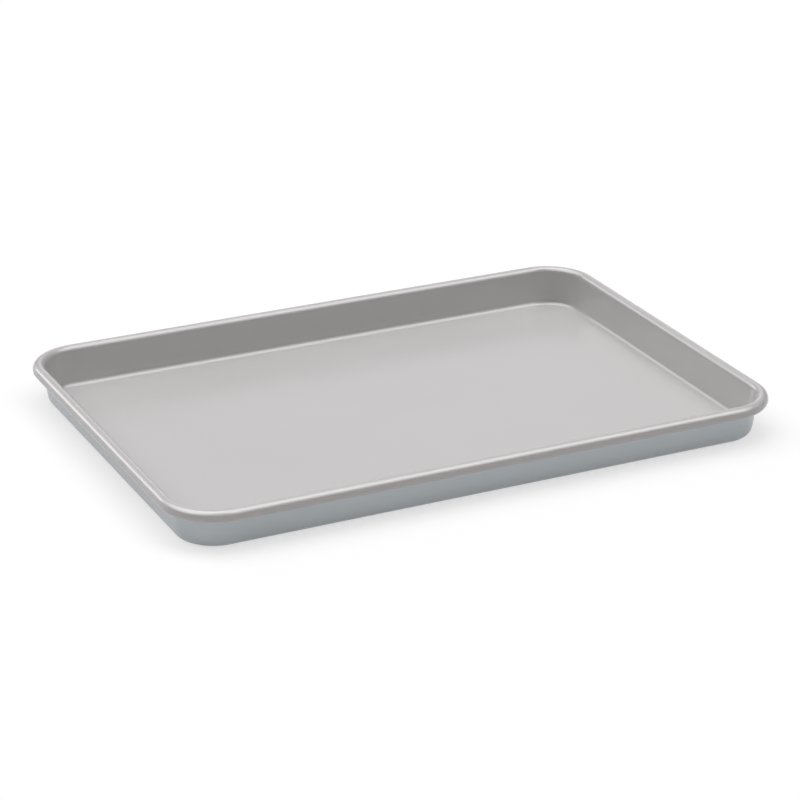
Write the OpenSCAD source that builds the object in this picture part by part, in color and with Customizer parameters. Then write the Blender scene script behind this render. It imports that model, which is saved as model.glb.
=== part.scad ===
// Jelly roll pan: a shallow oblong baking pan, drawn from one sheet of steel. The walls lean
// out a little, the corners are round, and the top edge is rolled outwards over a stiffening
// wire into a round bead. A thin non-stick coating covers the inside and the outside of the
// bead, down to the rolled-in edge. The outside of the walls and the underside stay bare.
// Millimetres. +X runs along the pan's length and +Z points up.
// The origin is the middle of the flat underside.

/* [Opening] */
// Length between the inner sides of the rolled rim
opening_l = 393.7; // [250:0.1:530]
// Width between the inner sides of the rolled rim
opening_w = 266.7; // [180:0.1:380]
// Radius of the opening's corners, seen from above
corner_r = 26.5; // [18:0.1:60]

/* [Walls] */
// Height from the underside to the top of the rolled rim
pan_h = 27.2; // [20:0.1:45]
// Lean of the walls from upright, in degrees
draft = 5.5; // [2:0.1:10]
// Radius inside the sheet where a wall meets the floor
foot_r = 4.7; // [2:0.1:8]

/* [Sheet and coating] */
// Thickness of the steel sheet
sheet_t = 0.8; // [0.5:0.05:1.2]
// Thickness of the non-stick coating
coat_t = 0.08; // [0.05:0.01:0.15]

/* [Rolled rim] */
// Diameter of the wire inside the rim
wire_d = 6; // [3:0.1:8]
// Gap all round between the wire and the sheet rolled over it
wire_fit = 0.05; // [0.02:0.01:0.2]
// Gap between the rolled-in edge and the outside of the wall
curl_gap = 0.4; // [0.2:0.05:1]
// Gap between the two ends of the wire hoop
wire_joint = 1; // [0.3:0.1:3]

/* [Hidden] */
$fn = 120;

// The layers of the rolled rim, as radii about the middle of the wire
curl_in_r = wire_d / 2 + wire_fit;
curl_out_r = curl_in_r + sheet_t;
bead_r = curl_out_r + coat_t;

// The section is drawn with x measured outwards from the vertical axis of a corner.
// This is the middle of the rolled rim, which lies just outside the opening.
rim_x = corner_r + bead_r;
rim_z = pan_h - bead_r;

// Centre of the foot's arcs. They touch the floor and the leaning wall, which itself
// touches the circles of the rolled rim, so each layer runs on without a step.
foot_z = sheet_t + foot_r;
foot_x = rim_x - (curl_out_r + foot_r + sin(draft) * (rim_z - foot_z)) / cos(draft);

// Length of the straight wall between the foot's arcs and the rolled rim
wall_len = (rim_x - foot_x) * sin(draft) + (rim_z - foot_z) * cos(draft);

// Direction from the middle of the rim where the roll leaves the wall, and where it ends
curl_from = -180 + acos((curl_in_r - curl_gap) / bead_r) - draft;
curl_to = 180 - draft;

// Half lengths of the straight walls between the corners
straight_x = opening_l / 2 - corner_r;
straight_y = opening_w / 2 - corner_r;

// Sector of a ring about the origin, turning anticlockwise from one angle to the other
module ring_sector(inner_r, outer_r, from, to) {
    steps = ceil((to - from) / 60);
    // The wedge's straight chords stay outside the ring
    reach = 2 * outer_r;
    rim_points = [for (i = [0:steps]) let (a = from + (to - from) * i / steps) reach * [cos(a), sin(a)]];
    intersection() {
        difference() {
            circle(r = outer_r);
            circle(r = inner_r);
        }
        polygon(concat([[0, 0]], rim_points));
    }
}

// Section of one layer of the pan, from the corner's axis across the floor, round the foot,
// up the wall and round the roll. The layer lies between two radii of the rolled rim.
module layer_section(inner_r, outer_r) {
    thickness = outer_r - inner_r;
    bottom_z = inner_r - curl_in_r;
    foot_outer_r = foot_z - bottom_z;
    translate([0, bottom_z])
        square([foot_x, thickness]);
    translate([foot_x, foot_z])
        ring_sector(foot_outer_r - thickness, foot_outer_r, -90, -draft);
    translate([rim_x, rim_z])
        rotate(-draft)
            translate([-outer_r, -wall_len])
                square([thickness, wall_len]);
    translate([rim_x, rim_z])
        ring_sector(inner_r, outer_r, curl_from, curl_to);
}

// Carries a section round the pan: four straight walls and four corners
module round_the_pan() {
    for (quarter = [0:3]) {
        along = quarter % 2 == 0 ? straight_y : straight_x;
        across = quarter % 2 == 0 ? straight_x : straight_y;
        rotate(90 * quarter)
            translate([across, along, 0]) {
                rotate_extrude(angle = 90)
                    children();
                rotate([90, 0, 0])
                    linear_extrude(height = 2 * along)
                        children();
            }
    }
}

// One whole layer: its section carried round, and the middle of its floor
module pan_layer(inner_r, outer_r) {
    round_the_pan()
        layer_section(inner_r, outer_r);
    translate([-straight_x, -straight_y, inner_r - curl_in_r])
        cube([2 * straight_x, 2 * straight_y, outer_r - inner_r]);
}

// The steel sheet: floor, foot, walls and the edge rolled over the wire
module pressed_tray() {
    color([0.62, 0.65, 0.67])
        pan_layer(curl_in_r, curl_out_r);
}

// The hoop of wire in the roll, bent from one rod, with its joint halfway along a long wall
module rim_wire() {
    color([0.55, 0.56, 0.57])
        difference() {
            round_the_pan()
                translate([rim_x, rim_z])
                    circle(d = wire_d);
            translate([-wire_joint / 2, straight_y + rim_x - wire_d, rim_z - wire_d])
                cube([wire_joint, 2 * wire_d, 2 * wire_d]);
        }
}

// The non-stick coating, on the inside of the sheet and round the outside of the roll
module nonstick_coating() {
    color([0.74, 0.73, 0.73])
        pan_layer(curl_out_r, bead_r);
}

pressed_tray();
rim_wire();
nonstick_coating();
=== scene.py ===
import math

import bmesh
import bpy
from mathutils import Matrix, Vector


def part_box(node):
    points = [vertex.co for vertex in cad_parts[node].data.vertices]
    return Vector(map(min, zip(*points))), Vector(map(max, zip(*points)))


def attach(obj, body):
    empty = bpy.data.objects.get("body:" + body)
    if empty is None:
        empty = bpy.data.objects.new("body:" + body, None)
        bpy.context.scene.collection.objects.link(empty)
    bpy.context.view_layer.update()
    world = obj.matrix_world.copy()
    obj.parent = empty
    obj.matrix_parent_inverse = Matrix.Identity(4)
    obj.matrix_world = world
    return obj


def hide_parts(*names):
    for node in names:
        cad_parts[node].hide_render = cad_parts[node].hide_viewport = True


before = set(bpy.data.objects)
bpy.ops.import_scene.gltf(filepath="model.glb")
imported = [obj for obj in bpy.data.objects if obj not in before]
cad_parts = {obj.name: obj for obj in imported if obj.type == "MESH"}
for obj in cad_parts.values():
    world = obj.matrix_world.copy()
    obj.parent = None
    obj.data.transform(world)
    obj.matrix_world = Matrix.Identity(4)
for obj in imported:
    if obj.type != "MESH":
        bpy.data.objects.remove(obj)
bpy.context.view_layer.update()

MM = 0.001

# Camera. The angles are those at which the photograph was taken.
VIEW_AZIMUTH = math.radians(-26.312)
VIEW_ELEVATION = math.radians(23.142)
VIEW_ROLL = math.radians(0.422)
VIEW_DISTANCE = 1.79058
VIEW_AIM = Vector((0.01257, 0.02045, 0))
VIEW_REACH = 50
LENS_MM = 124.15
SENSOR_MM = 36

# Sheet, coating and wire
SHEET_T = 0.8 * MM
WIRE_FIT = 0.05 * MM
COAT_T = 0.08 * MM
WIRE_R = 3 * MM
WIRE_JOINT = 1 * MM
# Lean of the walls, and the three bends that join the floor to a wall. Each is a radius inside
# the sheet and the angle it turns: slow, tight, slow.
DRAFT = math.radians(5.5)
FOOT_BENDS = [
    (30 * MM, math.radians(5)),
    (4.2 * MM, math.radians(72.5)),
    (40 * MM, math.radians(7)),
]
# Radius of the opening's corners, and the gap between the rolled-in edge and the wall
CORNER_R = 26.5 * MM
CURL_GAP = 0.4 * MM

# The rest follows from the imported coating, which is the outermost layer
coat_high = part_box("nonstick_coating")[1]
PAN_H = coat_high.z
CURL_IN_R = WIRE_R + WIRE_FIT
CURL_OUT_R = CURL_IN_R + SHEET_T
BEAD_R = CURL_OUT_R + COAT_T
STRAIGHT_X = coat_high.x - 2 * BEAD_R - CORNER_R
STRAIGHT_Y = coat_high.y - 2 * BEAD_R - CORNER_R

# The section of the pan, with x measured outwards from the upright axis of a corner
RIM_X = CORNER_R + BEAD_R
RIM_Z = PAN_H - BEAD_R
foot_run, foot_rise, slope = 0.0, 0.0, 0.0
for bend_r, bend in FOOT_BENDS:
    foot_run += bend_r * (math.sin(slope + bend) - math.sin(slope))
    foot_rise += bend_r * (math.cos(slope) - math.cos(slope + bend))
    slope += bend
wall_drop = RIM_Z - SHEET_T - foot_rise
FOOT_X = RIM_X - foot_run - (CURL_OUT_R + math.sin(DRAFT) * wall_drop) / math.cos(DRAFT)
CURL_END = math.acos((CURL_IN_R - CURL_GAP) / BEAD_R) - DRAFT
CURL_SWEEP = 2 * math.pi - DRAFT - CURL_END

# How finely the curves are cut
FOOT_STEPS = 12
CURL_STEPS = 64
CORNER_STEPS = 36
WIRE_SIDES = 32
# Width of the narrow faces that keep a flat stretch flat beside a curve
EDGE_HOLD = 0.35 * MM
# Vertices this close are one
MERGE = 0.001 * MM
# Edges that turn more than this stay crisp, as the cut edge of the sheet does
SHARP_ANGLE = math.radians(50)

# Numbers of sockets. Outputs of the Light Path node:
CAMERA_RAY = 0
GLOSSY_RAY = 3
TRANSMISSION_RAY = 6
# Outputs of the Texture Coordinate node. In a world the first is the direction looked in.
GENERATED = 0
OBJECT = 3
# The dot product of a Vector Math node
DOT_PRODUCT = 1
# The two colours that go into a Mix node, and the one that comes out
COLOUR_A = 6
COLOUR_B = 7
MIXED_COLOUR = 2
# Inputs of a Mix Shader node
SHARE = 0
SHADER_A = 1
SHADER_B = 2

# Colours of the finishes. Dark and light are the two ends of an even tone.
COATING_DARK = (0.530, 0.514, 0.516, 1)
COATING_LIGHT = (0.595, 0.577, 0.579, 1)
COATING_POLISHED = (0.66, 0.645, 0.645, 1)
# Painted shade: the darker, browner colour of the outside and underside of the roll
COATING_PAINTED_SHADE = (0.385, 0.361, 0.359, 1)
STEEL_DARK = (0.395, 0.426, 0.447, 1)
STEEL_LIGHT = (0.457, 0.488, 0.509, 1)
STEEL_SCUFFED = (0.60, 0.62, 0.63, 1)
WIRE_DARK = (0.38, 0.39, 0.40, 1)
WIRE_LIGHT = (0.52, 0.53, 0.54, 1)
FLOOR_DARK = (0.87, 0.87, 0.87, 1)
FLOOR_LIGHT = (0.89, 0.89, 0.89, 1)
WHITE = (1, 1, 1, 1)

# Scales of the noise, per metre. The larger the number, the finer the grain.
COATING_CLOUD = 14
COATING_PEEL = 700
COATING_FLAKE = 5200
POLISH_PATCHES = 90
STEEL_CLOUD = 22
STEEL_SPECK = 3800
WIRE_CLOUD = 300
FLOOR_CLOUD = 3
# Scales along X, Y and Z of noise that is stretched into lines or marks
LEVEL_LINES = (30, 30, 1400)
LENGTHWISE_LINES = (30, 900, 900)
SCUFF_MARKS = (120, 500, 1)

# Heights between which the floor of the pan gives way to the wall, for the press lines
WALL_STARTS = 0.5 * MM
WALL_FULL = 3 * MM
# Heights between which the scuffs of the underside end
SCUFF_FULL = 0.02 * MM
SCUFF_ENDS = 0.2 * MM
# Depth of the bumps
PEEL_DEPTH = 0.02 * MM
GRAIN_DEPTH = 0.01 * MM

# The studio: a white floor, and a room with soft lamps on several sides
FLOOR_HALF = 15.0
# The floor lies this far above the underside, so that the two don't share a plane
FLOOR_LIFT = 0.01 * MM
# How much plain white is mixed into the floor that the camera and reflections see
FLOOR_GLOW = 0.62
# Each lamp: the direction towards it, its strength in the middle, and the number of degrees
# from the middle at which it has faded away. Left, right and ahead are as the camera sees them.
ROOM_LAMPS = [
    # The main lamp, high on the left
    ((-0.292, 0.145, 0.946), 2.7, 48),
    # High, ahead and to the right
    ((0.271, 0.18, 0.946), 0.8, 28),
    # On the right, halfway up
    ((0.443, -0.291, 0.848), 2.75, 25),
    # On the right and nearer, for the front of the rim
    ((0.448, -0.673, 0.588), 0.88, 22),
    # Low, ahead and to the left, for the sharp line along the left rim and the right foot
    ((-0.362, 0.867, 0.342), 2.3, 16),
    ((-0.282, 0.837, 0.469), 0.25, 28),
    # Ahead, for the sheen of the pan's floor
    ((0.405, 0.819, 0.407), 0.5, 16),
    # Ahead at the horizon, for the inner edge of the left rim
    ((0.442, 0.893, 0.087), 0.55, 20),
    # From below. The floor keeps it off everything but the underside.
    ((0, 0, -1), 0.9, 80),
]


def verts_of(geometry):
    return [part for part in geometry if isinstance(part, bmesh.types.BMVert)]


def edges_of(geometry):
    return [part for part in geometry if isinstance(part, bmesh.types.BMEdge)]


def layer_face(bm, radius):
    """Draws one face of a layer in the XZ plane, from the corner's axis to the end of the roll.

    radius is the face's radius in the roll, which also sets its height on the floor.
    Gives back the last vertex."""
    bottom = radius - CURL_IN_R
    tip = bm.verts.new((0, 0, bottom))

    def line_to(tip, point):
        made = bmesh.ops.extrude_vert_indiv(bm, verts=[tip])["verts"][0]
        made.co = point
        return made

    def arc(tip, centre, angle, steps):
        # A positive angle turns from +X towards +Z
        made = bmesh.ops.spin(bm, geom=[tip], cent=centre, axis=(0, -1, 0), angle=angle,
                              steps=steps, use_merge=False)
        return verts_of(made["geom_last"])[0]

    up_wall = Vector((math.sin(DRAFT), 0, math.cos(DRAFT)))
    rim_centre = Vector((RIM_X, 0, RIM_Z))
    wall_top = rim_centre + radius * Vector((-math.cos(DRAFT), 0, math.sin(DRAFT)))
    tip = line_to(tip, Vector((FOOT_X - EDGE_HOLD, 0, bottom)))
    tip = line_to(tip, Vector((FOOT_X, 0, bottom)))
    to_centre = Vector((0, 0, 1))
    for bend_r, bend in FOOT_BENDS:
        centre = tip.co + (bend_r + SHEET_T - bottom) * to_centre
        tip = arc(tip, centre, bend, FOOT_STEPS)
        to_centre = (centre - tip.co).normalized()
    tip = line_to(tip, tip.co + EDGE_HOLD * up_wall)
    tip = line_to(tip, wall_top - EDGE_HOLD * up_wall)
    tip = line_to(tip, wall_top)
    return arc(tip, rim_centre, -CURL_SWEEP, CURL_STEPS)


def carry_round(bm, start, heading, legs, turns):
    """Carries a section along straight legs with round corners between them.

    The section's edges stand in the XZ plane, x being the distance outwards from the axis
    that the corners turn about. start is that axis at the first leg's beginning, and
    heading is the first leg's direction, as an angle from +Y."""
    bmesh.ops.rotate(bm, verts=bm.verts, matrix=Matrix.Rotation(heading, 3, "Z"))
    bmesh.ops.translate(bm, verts=bm.verts, vec=start)
    edges = list(bm.edges)
    axis = start.copy()
    for index, leg in enumerate(legs):
        step = Matrix.Rotation(heading, 3, "Z") @ Vector((0, leg, 0))
        made = bmesh.ops.extrude_edge_only(bm, edges=edges)["geom"]
        new_verts = set(verts_of(made))
        bmesh.ops.translate(bm, verts=list(new_verts), vec=step)
        edges = [e for e in edges_of(made) if set(e.verts) <= new_verts]
        axis += step
        if index < turns:
            made = bmesh.ops.spin(bm, geom=edges, cent=axis, axis=(0, 0, 1), angle=math.pi / 2,
                                  steps=CORNER_STEPS, use_merge=False)
            edges = edges_of(made["geom_last"])
            heading += math.pi / 2


def finish_mesh(bm, name):
    """Closes what is open, turns the faces outwards and makes an object of the bmesh.

    It is shaded smooth, apart from its sharp edges."""
    bmesh.ops.remove_doubles(bm, verts=bm.verts, dist=MERGE)
    bmesh.ops.holes_fill(bm, edges=[e for e in bm.edges if e.is_boundary], sides=0)
    bmesh.ops.recalc_face_normals(bm, faces=bm.faces)
    mesh = bpy.data.meshes.new(name)
    bm.to_mesh(mesh)
    bm.free()
    mesh.shade_smooth()
    mesh.set_sharp_from_angle(angle=SHARP_ANGLE)
    piece = bpy.data.objects.new(name, mesh)
    bpy.context.scene.collection.objects.link(piece)
    return piece


def make_layer(name, inner_r, outer_r):
    """One layer of the pan between two radii of the roll, closed all round."""
    bm = bmesh.new()
    ends = [layer_face(bm, inner_r), layer_face(bm, outer_r)]
    bm.edges.new(ends)
    sides = [2 * STRAIGHT_Y, 2 * STRAIGHT_X] * 2
    carry_round(bm, Vector((STRAIGHT_X, -STRAIGHT_Y, 0)), 0, sides, len(sides))
    return finish_mesh(bm, name)


def make_wire(name):
    """The hoop in the roll. It starts and ends at a joint halfway along the wall at +Y."""
    bm = bmesh.new()
    circle = bmesh.ops.create_circle(bm, segments=WIRE_SIDES, radius=WIRE_R)["verts"]
    bmesh.ops.rotate(bm, verts=circle, matrix=Matrix.Rotation(math.pi / 2, 3, "X"))
    bmesh.ops.translate(bm, verts=circle, vec=(RIM_X, 0, RIM_Z))
    part = STRAIGHT_X - WIRE_JOINT / 2
    legs = [part, 2 * STRAIGHT_Y, 2 * STRAIGHT_X, 2 * STRAIGHT_Y, part]
    carry_round(bm, Vector((-WIRE_JOINT / 2, STRAIGHT_Y, 0)), math.pi / 2, legs, len(legs) - 1)
    return finish_mesh(bm, name)


class Signal:
    """A socket in a shader tree. Sums of signals and numbers add Math nodes."""

    def __init__(self, tree, socket=None):
        self.tree = tree
        self.socket = socket

    def node(self, kind, settings=None, sockets=None, out=0):
        """Adds a node. Its settings are set first, then the values or links of its sockets."""
        made = self.tree.nodes.new(kind)
        for name, value in (settings or {}).items():
            setattr(made, name, value)
        for name, value in (sockets or {}).items():
            if isinstance(value, Signal):
                self.tree.links.new(value.socket, made.inputs[name])
            else:
                made.inputs[name].default_value = value
        return Signal(self.tree, made.outputs[out])

    def maths(self, operation, *others):
        """A Math node, with this signal first and then the others."""
        inputs = {index: value for index, value in enumerate((self, *others))}
        return self.node("ShaderNodeMath", {"operation": operation}, inputs)

    def __add__(self, other):
        return self.maths("ADD", other)

    __radd__ = __add__

    def __sub__(self, other):
        return self.maths("SUBTRACT", other)

    def __rsub__(self, other):
        return self.node("ShaderNodeMath", {"operation": "SUBTRACT"}, {0: other, 1: self})

    def __mul__(self, other):
        return self.maths("MULTIPLY", other)

    __rmul__ = __mul__

    def __abs__(self):
        return self.maths("ABSOLUTE")

    def root(self):
        return self.maths("SQRT")

    def at_least(self, level):
        return self.maths("MAXIMUM", level)

    def parts(self):
        """The X, Y and Z of a vector."""
        split = self.node("ShaderNodeSeparateXYZ", None, {0: self})
        return [Signal(self.tree, split.socket.node.outputs[index]) for index in range(3)]

    def ramp(self, low, high):
        """0 below low, 1 above high and a smooth rise between them."""
        return self.node("ShaderNodeMapRange", {"interpolation_type": "SMOOTHSTEP"},
                         {"Value": self, "From Min": low, "From Max": high})

    def blend(self, dark, light):
        """A colour between two, by this signal."""
        return self.node("ShaderNodeMix", {"data_type": "RGBA"},
                         {"Factor": self, COLOUR_A: dark, COLOUR_B: light}, out=MIXED_COLOUR)


def noise(place, scale, detail):
    return place.node("ShaderNodeTexNoise", None,
                      {"Vector": place, "Scale": scale, "Detail": detail})


def stretched_noise(place, scale, detail):
    stretched = place.node("ShaderNodeMapping", None, {"Vector": place, "Scale": scale})
    return noise(stretched, 1, detail)


def new_material(name):
    """An empty node material. Gives it back with a signal of its tree and the output node."""
    material = bpy.data.materials.new(name)
    material.use_nodes = True
    material.node_tree.nodes.clear()
    tree = Signal(material.node_tree)
    output = material.node_tree.nodes.new("ShaderNodeOutputMaterial")
    return material, tree, output


def surface(tree, output, sockets):
    shader = tree.node("ShaderNodeBsdfPrincipled", None, sockets)
    tree.tree.links.new(shader.socket, output.inputs["Surface"])


def roll_place(place):
    """Where a point is on the roll: its distance out and up from the wire, in radii of the roll."""
    x, y, z = place.parts()
    past_x = (abs(x) - STRAIGHT_X).at_least(0)
    past_y = (abs(y) - STRAIGHT_Y).at_least(0)
    square = past_x * past_x + past_y * past_y
    return (square.root() - RIM_X) * (1 / BEAD_R), (z - RIM_Z) * (1 / BEAD_R)


def drawn_lines(place):
    """Fine lines left by the press: level round the walls, and lengthwise on the floor.

    Gives back the lines, and a mask that is 1 on the walls and 0 on the floor."""
    walls = place.parts()[2].ramp(WALL_STARTS, WALL_FULL)
    level = stretched_noise(place, LEVEL_LINES, 2)
    lengthwise = stretched_noise(place, LENGTHWISE_LINES, 2)
    return level * walls + lengthwise * (1 - walls), walls


def nonstick_finish():
    """Warm grey non-stick coating: a satin film with fine metallic flake.

    On the outside and underside of the roll its colour is painted darker and browner. This is
    painted shade for the darker floor that the roll faces there."""
    material, tree, output = new_material("nonstick_satin")
    place = tree.node("ShaderNodeTexCoord", out=OBJECT)
    out, up = roll_place(place)
    lines, walls = drawn_lines(place)
    cloud = noise(place, COATING_CLOUD, 2)
    peel = noise(place, COATING_PEEL, 2)
    flake = noise(place, COATING_FLAKE, 1)
    tone = cloud * 0.4 + flake * 0.4 + lines * 0.2
    even = tone.blend(COATING_DARK, COATING_LIGHT)
    # The crest of the rim is polished by stacking, in patches
    polish = up.ramp(0.7, 1) * noise(place, POLISH_PATCHES, 3).ramp(0.5, 0.75)
    polished = (0.35 * polish).blend(even, COATING_POLISHED)
    # Painted shade: the outside and underside of the roll are made darker and browner, for the dim
    # floor they face
    painted_shade = out.ramp(0.2, 0.9) * (1 - up.ramp(0.0, 0.7))
    colour = painted_shade.blend(polished, COATING_PAINTED_SHADE)
    rough = 0.15 + 0.05 * cloud + 0.04 * peel + 0.03 * lines * walls - 0.03 * polish
    film = tree.node("ShaderNodeBump", None,
                     {"Strength": 0.12, "Distance": PEEL_DEPTH, "Height": peel})
    surface(tree, output,
            {"Base Color": colour, "Metallic": 0.15, "Roughness": rough, "Normal": film})
    return material


def steel_finish():
    """Bare aluminised steel: cool grey and satin, with press lines and a scuffed underside."""
    material, tree, output = new_material("aluminised_satin")
    place = tree.node("ShaderNodeTexCoord", out=OBJECT)
    lines, walls = drawn_lines(place)
    cloud = noise(place, STEEL_CLOUD, 2)
    speck = noise(place, STEEL_SPECK, 1)
    tone = cloud * 0.35 + lines * 0.4 + speck * 0.25
    clean = tone.blend(STEEL_DARK, STEEL_LIGHT)
    # Shelves scuff only the flat underside
    underside = 1 - place.parts()[2].ramp(SCUFF_FULL, SCUFF_ENDS)
    scuff = stretched_noise(place, SCUFF_MARKS, 4).ramp(0.55, 0.8) * underside
    colour = (0.3 * scuff).blend(clean, STEEL_SCUFFED)
    rough = 0.19 + 0.05 * cloud + 0.06 * lines + 0.12 * scuff
    grain = tree.node("ShaderNodeBump", None,
                      {"Strength": 0.1, "Distance": GRAIN_DEPTH, "Height": lines})
    surface(tree, output,
            {"Base Color": colour, "Metallic": 0.5, "Roughness": rough, "Normal": grain})
    return material


def wire_finish():
    """Galvanised wire with a cloudy zinc skin."""
    material, tree, output = new_material("galvanised_wire")
    place = tree.node("ShaderNodeTexCoord", out=OBJECT)
    cloud = noise(place, WIRE_CLOUD, 3)
    colour = cloud.blend(WIRE_DARK, WIRE_LIGHT)
    surface(tree, output, {"Base Color": colour, "Metallic": 1.0, "Roughness": 0.38 + 0.15 * cloud})
    return material


def floor_finish():
    """Matt white that keeps a shadow, with plain white mixed in for the camera and reflections."""
    material, tree, output = new_material("studio_floor")
    place = tree.node("ShaderNodeTexCoord", out=OBJECT)
    colour = noise(place, FLOOR_CLOUD, 1).blend(FLOOR_DARK, FLOOR_LIGHT)
    lit = tree.node("ShaderNodeBsdfPrincipled", None,
                    {"Base Color": colour, "Roughness": 0.9, "Specular IOR Level": 0.0})
    plain = tree.node("ShaderNodeEmission", None, {"Color": WHITE, "Strength": 1})
    seen = tree.node("ShaderNodeLightPath", out=CAMERA_RAY)
    for ray in (GLOSSY_RAY, TRANSMISSION_RAY):
        seen = seen.at_least(tree.node("ShaderNodeLightPath", out=ray))
    mixed = tree.node("ShaderNodeMixShader", None,
                      {SHARE: FLOOR_GLOW * seen, SHADER_A: lit, SHADER_B: plain})
    tree.tree.links.new(mixed.socket, output.inputs["Surface"])
    return material


def make_floor():
    bm = bmesh.new()
    bmesh.ops.create_grid(bm, x_segments=1, y_segments=1, size=FLOOR_HALF)
    mesh = bpy.data.meshes.new("floor")
    bm.to_mesh(mesh)
    bm.free()
    floor = bpy.data.objects.new("floor", mesh)
    floor.location.z = FLOOR_LIFT
    floor.data.materials.append(floor_finish())
    bpy.context.scene.collection.objects.link(floor)


def make_camera():
    azimuth, elevation = VIEW_AZIMUTH, VIEW_ELEVATION
    back = Vector((math.sin(azimuth) * math.cos(elevation),
                   -math.cos(azimuth) * math.cos(elevation), math.sin(elevation)))
    level_right = Vector((math.cos(azimuth), math.sin(azimuth), 0))
    level_up = back.cross(level_right)
    right = math.cos(VIEW_ROLL) * level_right + math.sin(VIEW_ROLL) * level_up
    up = back.cross(right)
    data = bpy.data.cameras.new("camera")
    data.lens = LENS_MM
    data.sensor_width = SENSOR_MM
    data.clip_end = VIEW_REACH
    camera = bpy.data.objects.new("camera", data)
    place = Matrix((right, up, back)).transposed().to_4x4()
    place.translation = VIEW_AIM + VIEW_DISTANCE * back
    camera.matrix_world = place
    bpy.context.scene.collection.objects.link(camera)
    bpy.context.scene.camera = camera


def make_room():
    """The light: soft lamps in an otherwise dark room."""
    world = bpy.data.worlds.new("room")
    world.use_nodes = True
    world.node_tree.nodes.clear()
    tree = Signal(world.node_tree)
    direction = tree.node("ShaderNodeTexCoord", out=GENERATED)
    level = None
    for toward, strength, spread in ROOM_LAMPS:
        cosine = direction.node("ShaderNodeVectorMath", {"operation": "DOT_PRODUCT"},
                                {0: direction, 1: toward}, out=DOT_PRODUCT)
        lamp = strength * cosine.ramp(math.cos(math.radians(spread)), 1)
        level = lamp if level is None else level + lamp
    # Past the edge of the floor the camera sees plain white
    seen = tree.node("ShaderNodeLightPath", out=CAMERA_RAY)
    level = level * (1 - seen) + seen
    light = tree.node("ShaderNodeBackground", None, {"Color": WHITE, "Strength": level})
    output = world.node_tree.nodes.new("ShaderNodeOutputWorld")
    world.node_tree.links.new(light.socket, output.inputs["Surface"])
    bpy.context.scene.world = world


make_camera()
make_floor()
make_room()

coating = make_layer("coated_surface", CURL_OUT_R, BEAD_R)
coating.data.materials.append(nonstick_finish())
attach(coating, "root")
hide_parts("nonstick_coating")

tray = make_layer("steel_tray", CURL_IN_R, CURL_OUT_R)
tray.data.materials.append(steel_finish())
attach(tray, "root")
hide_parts("pressed_tray")

wire = make_wire("wire_hoop")
wire.data.materials.append(wire_finish())
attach(wire, "root")
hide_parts("rim_wire")

bpy.context.scene.view_settings.view_transform = "Standard"
